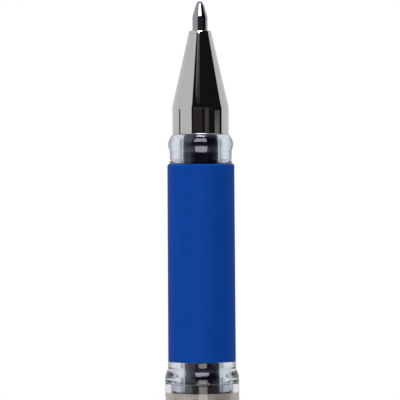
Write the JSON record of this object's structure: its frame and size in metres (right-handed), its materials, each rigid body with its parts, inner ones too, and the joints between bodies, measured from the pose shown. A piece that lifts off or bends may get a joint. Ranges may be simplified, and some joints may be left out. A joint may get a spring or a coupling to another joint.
{
  "type": "gel pen",
  "caption": "Capped gel pen, point up on its posted cap: metal nose cone, rubber grip, clear barrel with a metallic sleeve, refill inside.",
  "frame": {"origin": "centre of the flat closed end of the posted cap, on the pen's axis", "axes": "+Z along the pen towards the writing point, +X towards the pocket clip"},
  "size_m": [0.015, 0.0128, 0.169],
  "materials": {
    "ball_carbide": "polished tungsten carbide",
    "spring_steel": "drawn stainless wire",
    "point_steel": "turned stainless steel",
    "natural_plastic": "unpigmented moulded plastic",
    "tube_plastic": "clear extruded tube",
    "gel_ink": "blue-black gel ink",
    "follower_grease": "clear amber grease",
    "cone_chrome": "bright chrome plate",
    "clear_plastic": "polished clear moulded plastic",
    "blue_rubber": "matte moulded rubber",
    "champagne_foil": "satin champagne metallic",
    "blue_plastic": "polished moulded plastic",
    "seal_rubber": "soft moulded rubber",
    "clip_chrome": "bright chrome plate"
  },
  "bodies": {
    "cap": {"cap_shell": "clear_plastic", "inner_cap": "natural_plastic", "tip_seal": "seal_rubber", "cap_crown": "blue_plastic"},
    "clip": {"pocket_clip": "clip_chrome"},
    "barrel": {"barrel": "clear_plastic", "grip_section": "clear_plastic", "rubber_grip": "blue_rubber", "barrel_sleeve": "champagne_foil", "tail_plug": "blue_plastic"},
    "refill": {"writing_point": "point_steel", "ball_spring": "spring_steel", "point_holder": "natural_plastic", "ink_tube": "tube_plastic", "gel_ink": "gel_ink", "ink_follower": "follower_grease"},
    "ball": {"tip_ball": "ball_carbide"},
    "cone": {"nose_cone": "cone_chrome"}
  },
  "joints": [
    {"name": "refill_slide", "type": "slide", "parent": "barrel", "child": "refill", "axis": [0, 0, 1], "range_m": [0, 0.0038]},
    {"name": "cone_screw", "type": "hinge", "parent": "refill", "child": "cone", "pos_m": [0, 0, 0.15], "axis": [0, 0, 1], "range_deg": [0, 1141]},
    {"name": "ball_roll", "type": "hinge", "parent": "refill", "child": "ball", "pos_m": [0, 0, 0.1685], "axis": [1, 0, 0], "continuous": true},
    {"name": "cap_pull", "type": "slide", "parent": "cap", "child": "barrel", "axis": [0, 0, 1], "range_m": [0, 0.04]},
    {"name": "clip_flex", "type": "hinge", "parent": "cap", "child": "clip", "pos_m": [0.00615, 0, 0.0021], "axis": [0, 1, 0], "range_deg": [0, 3], "stiffness_Nm_per_rad": 2.4}
  ],
  "couplings": [
    {"joint": "cone_screw", "follows": "refill_slide", "rad_per_m": 5236}
  ]
}
